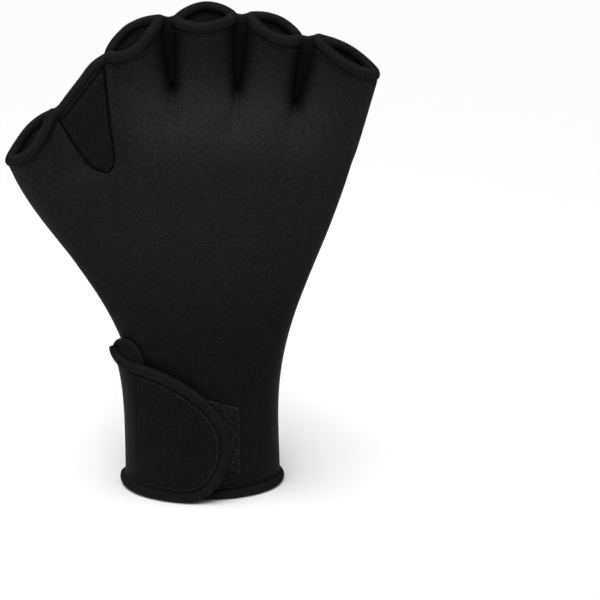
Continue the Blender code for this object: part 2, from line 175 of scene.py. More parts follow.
# Linear colours
CLOTH_DARK = (0.0045, 0.0045, 0.0047, 1.0)
CLOTH_LIGHT = (0.0096, 0.0096, 0.0100, 1.0)
# Painted highlight: paler knit over the palm and the knuckles, where the light falls
CLOTH_PAINTED_HIGHLIGHT = (0.0200, 0.0200, 0.0206, 1.0)
# Painted shade: darker knit in the recessed webs and the folds beside them
CLOTH_PAINTED_SHADE = (0.0012, 0.0012, 0.0013, 1.0)
# Painted shade of the sunken seams, given to dark tubes laid along them
SEAM_SHADE = (0.0007, 0.0007, 0.0007, 1.0)
TAPE_DARK = (0.0055, 0.0055, 0.0058, 1.0)
TAPE_LIGHT = (0.0130, 0.0130, 0.0135, 1.0)
THREAD = (0.0200, 0.0200, 0.0206, 1.0)
PILE_DARK = (0.0006, 0.0006, 0.0007, 1.0)
PILE_LIGHT = (0.0045, 0.0045, 0.0047, 1.0)
YARN_DARK = (0.0030, 0.0030, 0.0032, 1.0)
YARN_LIGHT = (0.0240, 0.0240, 0.0247, 1.0)
FLOOR = (0.98, 0.98, 0.98, 1.0)
WHITE = (1.0, 1.0, 1.0, 1.0)

# Lights and camera: angles in degrees, places in metres
SUN_ANGLE = 42.0
SUN_TURN = (10.0, 0.0, -35.0)
KEY_SIZE = (0.34, 0.22)
KEY_PLACE = (0.02, -0.34, 0.50)
KEY_AIM = (0.0, 0.0, 0.165)
KEY_SPREAD = 50.0
SENSOR_WIDTH = 36.0
FLOOR_HALF = 4.0


# Settings


class ClothSettings(bpy.types.PropertyGroup):
    levels: IntProperty(name="Levels", description="Subdivision levels of the cloth", default=2, min=1, max=3)
    fold_crease: FloatProperty(
        name="Fold crease", description="How sharp the folds at the slots stay", default=0.55
    )
    rib_pitch: FloatProperty(
        name="Rib pitch", description="Distance of the knit's ribs", default=0.00085, unit="LENGTH"
    )
    undulation: FloatProperty(
        name="Undulation", description="Depth of the soft waves", default=0.00045, unit="LENGTH"
    )
    wave_size: FloatProperty(
        name="Wave size", description="Size of the soft waves", default=0.022, unit="LENGTH"
    )
    foot: FloatProperty(
        name="Foot", description="How far a web runs on below its slot", default=0.006, unit="LENGTH"
    )
    flat_band: FloatProperty(
        name="Flat band",
        description="Width beside the tongue where the tubes flatten",
        default=0.014,
        unit="LENGTH",
    )
    flat_share: FloatProperty(name="Flat share", description="Bulge left at the tongue's seam", default=0.42)
    tongue_crown: FloatProperty(
        name="Tongue crown", description="Bulge of the tongue", default=0.0009, unit="LENGTH"
    )
    web_crown: FloatProperty(
        name="Web crown", description="Bulge of the narrow webs", default=-0.0004, unit="LENGTH"
    )
    # Painted highlight: size of the paler spots over the knuckles, and how much paler they and the wide palm
    # are
    knuckle_highlight_size: FloatProperty(
        name="Knuckle size", description="Half width of a stretched spot", default=0.015, unit="LENGTH"
    )
    knuckle_painted_highlight: FloatProperty(
        name="Knuckle stretch", description="How far the knit opens there", default=0.42
    )
    hand_painted_highlight: FloatProperty(
        name="Hand stretch", description="How far the knit opens over the wide palm", default=0.34
    )
    # Painted highlight on the tongue, in place of the palm's
    tongue_painted_highlight: FloatProperty(
        name="Tongue stretch", description="How far the knit opens on the tongue", default=0.05
    )
    # Painted shade in the folds beside the webs: its width, and how far it runs on below them
    fold_shade_width: FloatProperty(
        name="Fold width", description="Width of the pressed band beside a web", default=0.006, unit="LENGTH"
    )
    fold_shade_reach: FloatProperty(
        name="Fold reach", description="How far a fold runs on below its web", default=0.010, unit="LENGTH"
    )
    relax_size: FloatProperty(
        name="Relax size", description="Radius of the even cloth below a web", default=0.016, unit="LENGTH"
    )
    lean: FloatProperty(
        name="Lean", description="How far the cuff sits to one side", default=0.0012, unit="LENGTH"
    )
    tuck: FloatProperty(
        name="Tuck", description="How far a web's edge goes into the seam", default=0.0012, unit="LENGTH"
    )


class TapeSettings(bpy.types.PropertyGroup):
    radius: FloatProperty(
        name="Radius", description="Half of the folded tape's width", default=0.0023, unit="LENGTH"
    )
    settle: FloatProperty(
        name="Settle", description="How far the tape sits down over the edge", default=0.0009, unit="LENGTH"
    )
    rib_pitch: FloatProperty(
        name="Rib pitch", description="Distance of the tape's ribs", default=0.00090, unit="LENGTH"
    )
    rib_depth: FloatProperty(
        name="Rib depth", description="Depth of the ribs as a share of the radius", default=0.065
    )
    sides: IntProperty(name="Sides", description="Points round the tape", default=14, min=6)
    samples: IntProperty(name="Samples", description="Rings for each rib", default=6, min=3)


class StitchSettings(bpy.types.PropertyGroup):
    drop: FloatProperty(
        name="Drop", description="From the tape's middle to the stitches", default=0.0032, unit="LENGTH"
    )
    pitch: FloatProperty(name="Pitch", description="Distance of the stitches", default=0.0018, unit="LENGTH")
    length: FloatProperty(name="Length", description="Length of a stitch", default=0.0016, unit="LENGTH")
    radius: FloatProperty(
        name="Radius", description="Half of the thread's thickness", default=0.00027, unit="LENGTH"
    )


class StrapSettings(bpy.types.PropertyGroup):
    thickness: FloatProperty(
        name="Thickness", description="Thickness of the strap", default=0.0024, unit="LENGTH"
    )
    root_turn: FloatProperty(
        name="Root", description="Angle at which the strap leaves the cuff, in degrees", default=-33.0
    )
    cover_inset: FloatProperty(
        name="Cover inset", description="Cover stitch from the edge", default=0.0061, unit="LENGTH"
    )
    groove_inset: FloatProperty(
        name="Groove inset", description="Groove from the edge", default=0.0049, unit="LENGTH"
    )
    wave_depth: FloatProperty(
        name="Wave depth", description="Swing of the cover stitch", default=0.00038, unit="LENGTH"
    )
    wave_pitch: FloatProperty(
        name="Wave pitch", description="Length of one swing", default=0.0034, unit="LENGTH"
    )


class PileSettings(bpy.types.PropertyGroup):
    density: FloatProperty(name="Density", description="Loops for each square metre", default=2.6e6)
    loop_radius: FloatProperty(
        name="Loop radius", description="Radius of a loop", default=0.00042, unit="LENGTH"
    )
    thread: FloatProperty(
        name="Thread", description="Half of a loop's thickness", default=0.00008, unit="LENGTH"
    )
    seed: IntProperty(name="Seed", description="Seed of the loops' places", default=7)


class StageSettings(bpy.types.PropertyGroup):
    distance: FloatProperty(name="Distance", description="Camera to the glove", default=0.676, unit="LENGTH")
    height: FloatProperty(name="Height", description="Camera's height", default=0.29536, unit="LENGTH")
    sideways: FloatProperty(
        name="Sideways", description="Camera's place sideways", default=0.04316, unit="LENGTH"
    )
    tilt: FloatProperty(name="Tilt", description="Camera's tilt down, in degrees", default=17.2)
    lens: FloatProperty(name="Lens", description="Focal length in millimetres", default=95.69)
    world: FloatProperty(name="World", description="Strength of the white surroundings", default=0.22)
    sun: FloatProperty(name="Sun", description="Strength of the big soft light overhead", default=2.53)
    key: FloatProperty(name="Key", description="Power of the soft box before the fingers", default=0.12)


# Small tools


def mix(low, high, share):
    return low + (high - low) * share


def ease(share):
    share = min(1.0, max(0.0, share))
    return share * share * (3.0 - 2.0 * share)


def smooth_path(points, count, closed):
    """Catmull-Rom path with evenly spread points through the given ones."""
    last = len(points)
    dense = []
    for i in range(last if closed else last - 1):
        places = [(i + k) % last if closed else min(max(i + k, 0), last - 1) for k in (-1, 0, 1, 2)]
        before, start, end, after = (points[place] for place in places)
        for step in range(12):
            t = step / 12
            dense.append(
                start
                + (end - before) * (t / 2)
                + (2 * before - 5 * start + 4 * end - after) * (t * t / 2)
                + (3 * start - before - 3 * end + after) * (t**3 / 2)
            )
    dense.append(points[0] if closed else points[-1])
    lengths = [0.0]
    for start, end in zip(dense, dense[1:]):
        lengths.append(lengths[-1] + (end - start).length)
    result = []
    place = 0
    for i in range(count):
        want = lengths[-1] * i / (count if closed else count - 1)
        while place < len(dense) - 2 and lengths[place + 1] < want:
            place += 1
        span = lengths[place + 1] - lengths[place]
        result.append(dense[place].lerp(dense[place + 1], (want - lengths[place]) / span if span else 0.0))
    return result


def path_length(points):
    return sum((end - start).length for start, end in zip(points, points[1:]))


def line_mesh(name, lines):
    """Mesh of bare edges along lines of points; a line is (points, closed)."""
    vertices, edges = [], []
    for points, closed in lines:
        first = len(vertices)
        vertices += [tuple(point) for point in points]
        edges += [(first + i, first + i + 1) for i in range(len(points) - 1)]
        if closed:
            edges.append((len(vertices) - 1, first))
    mesh = bpy.data.meshes.new(name)
    mesh.from_pydata(vertices, edges, [])
    return mesh


def welded(node_name):
    """A CAD node's mesh with its triangles welded and paired into quads."""
    bm = bmesh.new()
    bm.from_mesh(frame["nodes"][node_name].data)
    bmesh.ops.remove_doubles(bm, verts=bm.verts, dist=WELD)
    bmesh.ops.join_triangles(bm, faces=bm.faces, angle_face_threshold=math.pi, angle_shape_threshold=math.pi)
    bmesh.ops.recalc_face_normals(bm, faces=bm.faces)
    return bm


def plain_mesh(obj):
    """The object's evaluated mesh; the object itself is removed."""
    depsgraph = bpy.context.evaluated_depsgraph_get()
    mesh = bpy.data.meshes.new_from_object(obj.evaluated_get(depsgraph), depsgraph=depsgraph)
    mesh.name = obj.name
    bpy.data.objects.remove(obj)
    return mesh


def linked(name, mesh):
    obj = bpy.data.objects.new(name, mesh)
    bpy.context.scene.collection.objects.link(obj)
    return obj


def subdivided(name, bm, levels):
    mesh = bpy.data.meshes.new(name)
    bm.to_mesh(mesh)
    bm.free()
    obj = linked(f"{name}_cage", mesh)
    modifier = obj.modifiers.new("Subdivision", "SUBSURF")
    modifier.levels = levels
    modifier.render_levels = levels
    return plain_mesh(obj)


def even_cloth(mesh, painted_light=0.0):
    """Marks the whole mesh as far from any seam's groove and with one even level of painted light."""
    for name, value in (("rim_mm", 5.0), ("painted_light", painted_light)):
        layer = mesh.attributes.new(name, "FLOAT", "POINT")
        layer.data.foreach_set("value", [value] * len(mesh.vertices))
    return mesh


def new_piece(name, mesh, material, replaces=()):
    """A piece of the object that rides on the glove's body."""
    mesh.materials.clear()
    mesh.materials.append(material)
    mesh.shade_smooth()
    piece = linked(name, mesh)
    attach(piece, BODY)
    if replaces:
        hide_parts(*replaces)
    return piece


def grid_solid(front, back):
    """Closed solid between two grids of points with the same rows and columns."""
    bm = bmesh.new()
    layers = [[[bm.verts.new(point) for point in line] for line in grid] for grid in (front, back)]
    rows, columns = len(front), len(front[0])
    for layer in layers:
        for i in range(rows - 1):
            for k in range(columns - 1):
                bm.faces.new((layer[i][k], layer[i][k + 1], layer[i + 1][k + 1], layer[i + 1][k]))
    rim = [(0, k) for k in range(columns)] + [(i, columns - 1) for i in range(1, rows)]
    rim += [(rows - 1, k) for k in range(columns - 2, -1, -1)] + [(i, 0) for i in range(rows - 2, 0, -1)]
    for start, end in zip(rim, rim[1:] + rim[:1]):
        corners = [layers[0][start[0]][start[1]], layers[0][end[0]][end[1]]]
        corners += [layers[1][end[0]][end[1]], layers[1][start[0]][start[1]]]
        bm.faces.new(corners)
    bmesh.ops.recalc_face_normals(bm, faces=bm.faces)
    return bm


# Node trees


def add(tree, kind, inputs=None, **settings):
    """New node with its settings and inputs; an input is a value or another node's socket."""
    made = tree.nodes.new(kind)
    for name, value in settings.items():
        setattr(made, name, value)
    for key, value in (inputs or {}).items():
        if isinstance(value, bpy.types.NodeSocket):
            tree.links.new(value, made.inputs[key])
        else:
            made.inputs[key].default_value = value
    return made


def calc(tree, operation, *values, clamp=False):
    """Output of a math node in a shader or geometry tree."""
    made = add(tree, "ShaderNodeMath", dict(enumerate(values)), operation=operation, use_clamp=clamp)
    return made.outputs[0]


def new_material(name):
    material = bpy.data.materials.new(name)
    material.use_nodes = True
    tree = material.node_tree
    return material, tree, tree.nodes["Principled BSDF"]


def blend_colours(tree, factor, low, high):
    return add(tree, "ShaderNodeMix", {0: factor, 6: low, 7: high}, data_type="RGBA").outputs[2]


def object_axes(tree):
    """Object coordinates and their three parts, in metres."""
    place = add(tree, "ShaderNodeTexCoord").outputs["Object"]
    parts = add(tree, "ShaderNodeSeparateXYZ", {0: place}).outputs
    return place, parts[0], parts[1], parts[2]


def ripple(tree, value, pitch):
    """Sine of a length in metres, from 0 to 1."""
    sine = calc(tree, "SINE", calc(tree, "MULTIPLY", value, 2 * math.pi / pitch))
    return calc(tree, "MULTIPLY_ADD", sine, 0.5, 0.5)


def knit_material(name, settings, dark, light):
    """Fine-ribbed nylon knit on neoprene.

    The attribute rim_mm says where a seam's groove runs; there the knit gets a bump and painted shade.
    The attribute of painted light is above 0 where a painted highlight makes the knit paler, and below 0
    where painted shade makes it darker, in the webs and the folds beside them.
    """
    material, tree, shader = new_material(name)
    place, x, y, z = object_axes(tree)
    side = add(tree, "ShaderNodeAttribute", attribute_name="side").outputs["Fac"]
    across = add(tree, "ShaderNodeMix", {0: side, 2: x, 3: y}).outputs[0]
    ribs = ripple(tree, across, settings.rib_pitch)
    slanted = calc(tree, "ADD", z, calc(tree, "MULTIPLY", across, 0.5))
    courses = ripple(tree, slanted, settings.rib_pitch * 0.8)
    crossed = calc(tree, "MULTIPLY", ribs, courses)
    weave = calc(tree, "MULTIPLY_ADD", crossed, 0.6, calc(tree, "MULTIPLY", ribs, 0.4))
    fibre = add(tree, "ShaderNodeTexNoise", {"Vector": place, "Scale": 2600.0, "Detail": 3.0}).outputs["Fac"]
    grain = add(tree, "ShaderNodeTexNoise", {"Vector": place, "Scale": 950.0, "Detail": 2.0}).outputs["Fac"]
    blotch = add(tree, "ShaderNodeTexNoise", {"Vector": place, "Scale": 70.0, "Detail": 3.0}).outputs["Fac"]
    rim = add(tree, "ShaderNodeAttribute", attribute_name="rim_mm").outputs["Fac"]
    groove = add(
        tree,
        "ShaderNodeMapRange",
        {0: calc(tree, "ABSOLUTE", rim), 1: 0.0, 2: 0.55, 3: 0.0, 4: 1.0},
        interpolation_type="SMOOTHSTEP",
    ).outputs[0]
    tone = calc(tree, "MULTIPLY_ADD", fibre, 0.45, calc(tree, "MULTIPLY", weave, 0.25))
    tone = calc(tree, "ADD", tone, calc(tree, "MULTIPLY", blotch, 0.35))
    # Painted shade: the knit darkens towards the groove below the tapes
    tone = calc(tree, "MULTIPLY", tone, calc(tree, "MULTIPLY_ADD", groove, 0.75, 0.25), clamp=True)
    height = calc(tree, "MULTIPLY_ADD", fibre, 0.35, calc(tree, "MULTIPLY", weave, 0.65))
    fine = add(tree, "ShaderNodeBump", {"Strength": 0.5, "Distance": 0.00012, "Height": height})
    deep = add(
        tree,
        "ShaderNodeBump",
        {"Strength": 0.8, "Distance": 0.0005, "Height": groove, "Normal": fine.outputs[0]},
    )
    # Painted highlight and painted shade, read from the attribute of painted light
    painted_light = add(tree, "ShaderNodeAttribute", attribute_name="painted_light").outputs["Fac"]
    painted_highlight = calc(tree, "MAXIMUM", painted_light, 0.0, clamp=True)
    painted_shade = calc(tree, "MAXIMUM", calc(tree, "MULTIPLY", painted_light, -1.0), 0.0, clamp=True)
    colour = blend_colours(tree, tone, dark, light)
    colour = blend_colours(tree, painted_highlight, colour, CLOTH_PAINTED_HIGHLIGHT)
    colour = blend_colours(tree, painted_shade, colour, CLOTH_PAINTED_SHADE)
    shade = calc(tree, "MULTIPLY_ADD", grain, 1.5, 0.25)
    grey = add(tree, "ShaderNodeCombineXYZ", {0: shade, 1: shade, 2: shade}).outputs[0]
    colour = add(tree, "ShaderNodeVectorMath", {0: colour, 1: grey}, operation="MULTIPLY").outputs[0]
    tree.links.new(colour, shader.inputs["Base Color"])
    tree.links.new(calc(tree, "MULTIPLY_ADD", blotch, 0.14, 0.52), shader.inputs["Roughness"])
    tree.links.new(deep.outputs[0], shader.inputs["Normal"])
    shader.inputs["Specular IOR Level"].default_value = 0.03
    return material


def tape_material():
    """Woven binding tape; its ribs are in the mesh, its yarns in the bump."""
    material, tree, shader = new_material("binding_tape")
    place = add(tree, "ShaderNodeTexCoord").outputs["Object"]
    yarn = add(tree, "ShaderNodeTexNoise", {"Vector": place, "Scale": 3400.0, "Detail": 2.0}).outputs["Fac"]
    blotch = add(tree, "ShaderNodeTexNoise", {"Vector": place, "Scale": 160.0, "Detail": 2.0}).outputs["Fac"]
    tone = calc(tree, "MULTIPLY_ADD", yarn, 0.6, calc(tree, "MULTIPLY", blotch, 0.4), clamp=True)
    bump = add(tree, "ShaderNodeBump", {"Strength": 0.5, "Distance": 0.0001, "Height": yarn})
    tree.links.new(blend_colours(tree, tone, TAPE_DARK, TAPE_LIGHT), shader.inputs["Base Color"])
    tree.links.new(calc(tree, "MULTIPLY_ADD", yarn, 0.15, 0.48), shader.inputs["Roughness"])
    tree.links.new(bump.outputs[0], shader.inputs["Normal"])
    shader.inputs["Specular IOR Level"].default_value = 0.04
    return material


def thread_material():
    """Twisted polyester thread."""
    material, tree, shader = new_material("thread")
    place = add(tree, "ShaderNodeTexCoord").outputs["Object"]
    twist = add(tree, "ShaderNodeTexNoise", {"Vector": place, "Scale": 5200.0, "Detail": 1.0}).outputs["Fac"]
    bump = add(tree, "ShaderNodeBump", {"Strength": 0.4, "Distance": 0.00006, "Height": twist})
    dark = tuple(0.6 * value for value in THREAD[:3]) + (1.0,)
    tree.links.new(blend_colours(tree, twist, dark, THREAD), shader.inputs["Base Color"])
    tree.links.new(bump.outputs[0], shader.inputs["Normal"])
    shader.inputs["Roughness"].default_value = 0.5
    shader.inputs["Specular IOR Level"].default_value = 0.05
    return material


def seam_shade_material():
    """Deep shade of a pressed seam."""
    material, tree, shader = new_material("seam")
    place = add(tree, "ShaderNodeTexCoord").outputs["Object"]
    grain = add(tree, "ShaderNodeTexNoise", {"Vector": place, "Scale": 3000.0, "Detail": 1.0}).outputs["Fac"]
    tree.links.new(calc(tree, "MULTIPLY_ADD", grain, 0.1, 0.8), shader.inputs["Roughness"])
    shader.inputs["Base Color"].default_value = SEAM_SHADE
    shader.inputs["Specular IOR Level"].default_value = 0.05
    return material


def pile_material(name, dark, light):
    """Matt fuzzy pile."""
    material, tree, shader = new_material(name)
    place = add(tree, "ShaderNodeTexCoord").outputs["Object"]
    fuzz = add(tree, "ShaderNodeTexNoise", {"Vector": place, "Scale": 1500.0, "Detail": 3.0}).outputs["Fac"]
    clumps = add(tree, "ShaderNodeTexNoise", {"Vector": place, "Scale": 420.0, "Detail": 2.0}).outputs["Fac"]
    tone = calc(tree, "MULTIPLY", fuzz, clumps, clamp=True)
    bump = add(tree, "ShaderNodeBump", {"Strength": 0.9, "Distance": 0.0005, "Height": tone})
    speckle = calc(tree, "POWER", calc(tree, "MULTIPLY", tone, 2.2), 2.0, clamp=True)
    colour = blend_colours(tree, speckle, dark, light)
    tree.links.new(colour, shader.inputs["Base Color"])
    tree.links.new(calc(tree, "MULTIPLY_ADD", fuzz, 0.1, 0.85), shader.inputs["Roughness"])
    tree.links.new(bump.outputs[0], shader.inputs["Normal"])
    shader.inputs["Specular IOR Level"].default_value = 0.02
    return material


def floor_material():
    """Matt white paper with a faint unevenness."""
    material, tree, shader = new_material("studio_paper")
    place = add(tree, "ShaderNodeTexCoord").outputs["Object"]
    tooth = add(tree, "ShaderNodeTexNoise", {"Vector": place, "Scale": 900.0, "Detail": 2.0}).outputs["Fac"]
    bump = add(tree, "ShaderNodeBump", {"Strength": 0.02, "Distance": 0.0001, "Height": tooth})
    tree.links.new(bump.outputs[0], shader.inputs["Normal"])
    shader.inputs["Base Color"].default_value = FLOOR
    shader.inputs["Roughness"].default_value = 0.9
    shader.inputs["Specular IOR Level"].default_value = 0.1
    return material


def material_named(name, make, *values):
    """The material of that name, made on first use."""
    return bpy.data.materials.get(name) or make(*values)


def cloth_material(scene):
    values = ("knit_cloth", scene.glove_cloth, CLOTH_DARK, CLOTH_LIGHT)
    return material_named("knit_cloth", knit_material, *values)


def geometry_group(name, sockets):
    """Geometry node group with named inputs: the tree, its input node and the inputs' identifiers."""
    tree = bpy.data.node_groups.new(name, "GeometryNodeTree")
    tree.interface.new_socket("Geometry", in_out="INPUT", socket_type="NodeSocketGeometry")
    tree.interface.new_socket("Geometry", in_out="OUTPUT", socket_type="NodeSocketGeometry")
    keys = {}
    for label, kind in sockets:
        keys[label] = tree.interface.new_socket(label, in_out="INPUT", socket_type=kind).identifier
    return tree, tree.nodes.new("NodeGroupInput"), keys


def finish_group(tree, geometry, entry):
    """Ends a group with Realize Instances, smooth shading and its material."""
    realized = add(tree, "GeometryNodeRealizeInstances", {"Geometry": geometry}).outputs[0]
    smooth = add(tree, "GeometryNodeSetShadeSmooth", {"Geometry": realized}).outputs[0]
    material = entry.outputs["Material"]
    painted = add(tree, "GeometryNodeSetMaterial", {"Geometry": smooth, "Material": material})
    add(tree, "NodeGroupOutput", {0: painted.outputs[0]})


def ribbed_tape_group():
    """Round tape along bare edges, its ribs spread evenly over each line."""
    sockets = (
        ("Radius", "NodeSocketFloat"),
        ("Rib Pitch", "NodeSocketFloat"),
        ("Rib Depth", "NodeSocketFloat"),
        ("Sides", "NodeSocketInt"),
        ("Samples", "NodeSocketInt"),
        ("Material", "NodeSocketMaterial"),
    )
    tree, entry, keys = geometry_group("ribbed_tape", sockets)
    curve = add(tree, "GeometryNodeMeshToCurve", {0: entry.outputs["Geometry"]}).outputs[0]
    length = add(tree, "GeometryNodeSplineLength").outputs["Length"]
    ribs = calc(tree, "ROUND", calc(tree, "DIVIDE", length, entry.outputs["Rib Pitch"]))
    count = calc(tree, "MULTIPLY", ribs, entry.outputs["Samples"])
    held = add(tree, "GeometryNodeCaptureAttribute", {"Geometry": curve}, domain="CURVE")
    held.capture_items.new("FLOAT", "Ribs")
    tree.links.new(ribs, held.inputs["Ribs"])
    line = held.outputs["Geometry"]
    even = add(tree, "GeometryNodeResampleCurve", {"Curve": line, "Count": count}).outputs[0]
    factor = add(tree, "GeometryNodeSplineParameter").outputs["Factor"]
    phase = calc(tree, "MULTIPLY", calc(tree, "MULTIPLY", factor, held.outputs["Ribs"]), 2 * math.pi)
    swell = calc(tree, "MULTIPLY_ADD", calc(tree, "COSINE", phase), entry.outputs["Rib Depth"], 1.0)
    sides = entry.outputs["Sides"]
    profile = add(tree, "GeometryNodeCurvePrimitiveCircle", {"Resolution": sides, "Radius": 1.0})
    scale = calc(tree, "MULTIPLY", swell, entry.outputs["Radius"])
    tube = add(
        tree,
        "GeometryNodeCurveToMesh",
        {"Curve": even, "Profile Curve": profile.outputs[0], "Scale": scale, "Fill Caps": True},
    )
    finish_group(tree, tube.outputs[0], entry)
    return tree, keys


def stitch_group():
    """Short rods laid along bare edges at an even distance."""
    sockets = (
        ("Pitch", "NodeSocketFloat"),
        ("Length", "NodeSocketFloat"),
        ("Radius", "NodeSocketFloat"),
        ("Material", "NodeSocketMaterial"),
    )
    tree, entry, keys = geometry_group("stitches", sockets)
    curve = add(tree, "GeometryNodeMeshToCurve", {0: entry.outputs["Geometry"]}).outputs[0]
    points = add(
        tree, "GeometryNodeResampleCurve", {"Curve": curve, "Length": entry.outputs["Pitch"]}, mode="LENGTH"
    ).outputs[0]
    ball = add(tree, "GeometryNodeMeshUVSphere", {"Segments": 8, "Rings": 6, "Radius": 1.0}).outputs[0]
    half = calc(tree, "MULTIPLY", entry.outputs["Length"], 0.5)
    radius = entry.outputs["Radius"]
    size = add(tree, "ShaderNodeCombineXYZ", {0: radius, 1: radius, 2: half})
    tangent = add(tree, "GeometryNodeInputTangent").outputs[0]
    turn = add(tree, "FunctionNodeAlignRotationToVector", {"Vector": tangent}, axis="Z").outputs[0]
    rods = add(
        tree,
        "GeometryNodeInstanceOnPoints",
        {"Points": points, "Instance": ball, "Rotation": turn, "Scale": size.outputs[0]},
    )
    finish_group(tree, rods.outputs[0], entry)
    return tree, keys


def pile_group():
    """Small upright loops of yarn spread over the faces, turned at random from one seed."""
    sockets = (
        ("Density", "NodeSocketFloat"),
        ("Loop Radius", "NodeSocketFloat"),
        ("Thread", "NodeSocketFloat"),
        ("Seed", "NodeSocketInt"),
        ("Material", "NodeSocketMaterial"),
    )
    tree, entry, keys = geometry_group("loop_pile", sockets)
    normal = add(tree, "GeometryNodeInputNormal").outputs[0]
    facing = add(tree, "ShaderNodeSeparateXYZ", {0: normal}).outputs[1]
    outward = add(tree, "FunctionNodeCompare", {0: facing, 1: -0.4}, data_type="FLOAT", operation="LESS_THAN")
    spread = add(
        tree,
        "GeometryNodeDistributePointsOnFaces",
        {
            "Mesh": entry.outputs["Geometry"],
            "Selection": outward.outputs[0],
            "Density": entry.outputs["Density"],
            "Seed": entry.outputs["Seed"],
        },
    )
    size = entry.outputs["Loop Radius"]
    ring = add(tree, "GeometryNodeCurvePrimitiveCircle", {"Resolution": 8, "Radius": size})
    yarn = add(tree, "GeometryNodeCurvePrimitiveCircle", {"Resolution": 4, "Radius": entry.outputs["Thread"]})
    loop = add(tree, "GeometryNodeCurveToMesh", {"Curve": ring.outputs[0], "Profile Curve": yarn.outputs[0]})
    angles = add(
        tree,
        "FunctionNodeRandomValue",
        {0: (0.6, -0.5, 0.0), 1: (2.2, 0.5, 6.283), "Seed": entry.outputs["Seed"]},
        data_type="FLOAT_VECTOR",
    )
    turn = add(tree, "FunctionNodeEulerToRotation", {0: angles.outputs[0]}).outputs[0]
    loops = add(
        tree,
        "GeometryNodeInstanceOnPoints",
        {"Points": spread.outputs[0], "Instance": loop.outputs[0], "Rotation": turn},
    )
    finish_group(tree, loops.outputs[0], entry)
    return tree, keys


def grown(name, mesh, group, values):
    """Mesh that a geometry node group makes from another one."""
    tree, keys = group()
    obj = linked(name, mesh)
    modifier = obj.modifiers.new("Nodes", "NODES")
    modifier.node_group = tree
    for label, value in values.items():
        modifier[keys[label]] = value
    return plain_mesh(obj)


def tape_mesh(scene, name, lines, radius=None):
    settings = scene.glove_tape
    values = {
        "Radius": radius or settings.radius,
        "Rib Pitch": settings.rib_pitch,
        "Rib Depth": settings.rib_depth,
        "Sides": settings.sides,
        "Samples": settings.samples,
        "Material": material_named("binding_tape", tape_material),
    }
    return grown(name, line_mesh(name, lines), ribbed_tape_group, values)


def tape_piece(scene, name, lines, replaces=(), radius=None):
    mesh = tape_mesh(scene, name, lines, radius)
    return new_piece(name, mesh, material_named("binding_tape", tape_material), replaces)


def groove_piece(name, lines, sizes):
    """Dark tube along open lines, standing in as painted shade for a sunken seam."""
    material = material_named("seam", seam_shade_material)
    bare = line_mesh(name, [(line, False) for line in lines])
    mesh = grown(name, bare, ribbed_tape_group, {**sizes, "Material": material})
    return new_piece(name, mesh, material)


def point_tree(points):
    tree = KDTree(len(points))
    for i, point in enumerate(points):
        tree.insert(point, i)
    tree.balance()
    return tree


def surface_tree(piece_name):
    """Search tree of a piece's surface, for laying others on it."""
    mesh = bpy.data.objects[piece_name].data
    corners = [vertex.co for vertex in mesh.vertices]
    return BVHTree.FromPolygons(corners, [tuple(polygon.vertices) for polygon in mesh.polygons])


# Where the tapes run


class Ring:
    """Centre line of the tape round a finger's opening, read from its CAD bead."""

    def __init__(self, finger, settle, count=48):
        bm = welded(f"{finger}_binding")
        bm.normal_update()
        centres = [vertex.co - vertex.normal * BEAD_RADIUS for vertex in bm.verts]
        bm.free()
        self.centre = sum(centres, Vector()) / len(centres)
        left = min(centres, key=lambda point: point.x)
        right = max(centres, key=lambda point: point.x)
        self.across = Vector((right.x - left.x, 0.0, right.z - left.z)).normalized()
        self.up = Vector((-self.across.z, 0.0, self.across.x))
        bins = [[] for _ in range(count)]
        for point in centres:
            offset = point - self.centre
            angle = math.atan2(offset.y, offset.dot(self.across))
            bins[int(round(angle / (2 * math.pi) * count)) % count].append(point)
        means = [sum(group, Vector()) / len(group) for group in bins if group]
        self.points = [point - self.up * settle for point in smooth_path(means, 72, True)]

    def angle(self, point):
        """Angle round the opening in degrees: 0 at its right end, 90 at the back, -90 at the palm."""
        offset = point - self.centre
        return math.degrees(math.atan2(offset.y, offset.dot(self.across)))

    def nearest(self, angle):
        """The line's point that lies nearest to an angle."""
        return min(self.points, key=lambda point: abs((self.angle(point) - angle + 180) % 360 - 180))


def rings(scene):
    return {finger: Ring(finger, scene.glove_tape.settle) for finger in FINGERS}


def leaned(scene, place):
    """A place on the wrist after the cuff is moved sideways; from the palm upwards nothing moves."""
    return place + Vector((scene.glove_cloth.lean * (1 - ease(place.z / LEAN_TOP)), 0.0, 0.0))


def cuff_line(scene, count=160):
    a = CUFF_HALF_WIDTH - WALL / 5
    b = CUFF_HALF_DEPTH - WALL / 5
    angles = [2 * math.pi * i / count for i in range(count)]
    line = [Vector((a * math.cos(turn), b * math.sin(turn), scene.glove_tape.radius)) for turn in angles]
    return [leaned(scene, point) for point in line]


def web_edges(node_name, count):
    """Left and right edge of a web's slot from bottom to top, on the plane between palm and back."""
    bm = welded(node_name)
    corners = sorted((vertex.co.copy() for vertex in bm.verts if vertex.co.y < 0), key=lambda co: co.z)
    bm.free()
    bottom = (corners[0] + corners[1]) / 2
    top_left = max(corners, key=lambda co: co.z - 1.5 * co.x)
    top_right = max(corners, key=lambda co: co.z + 1.5 * co.x)
    top = (top_left + top_right) / 2
    lefts, rights = [], []
    for corner in corners:
        share = (corner.z - bottom.z) / (top.z - bottom.z)
        middle = mix(bottom.x, top.x, share)
        (lefts if corner.x < middle else rights).append(Vector((corner.x, 0.0, corner.z)))
    return smooth_path(lefts, count, False), smooth_path(rights, count, False)


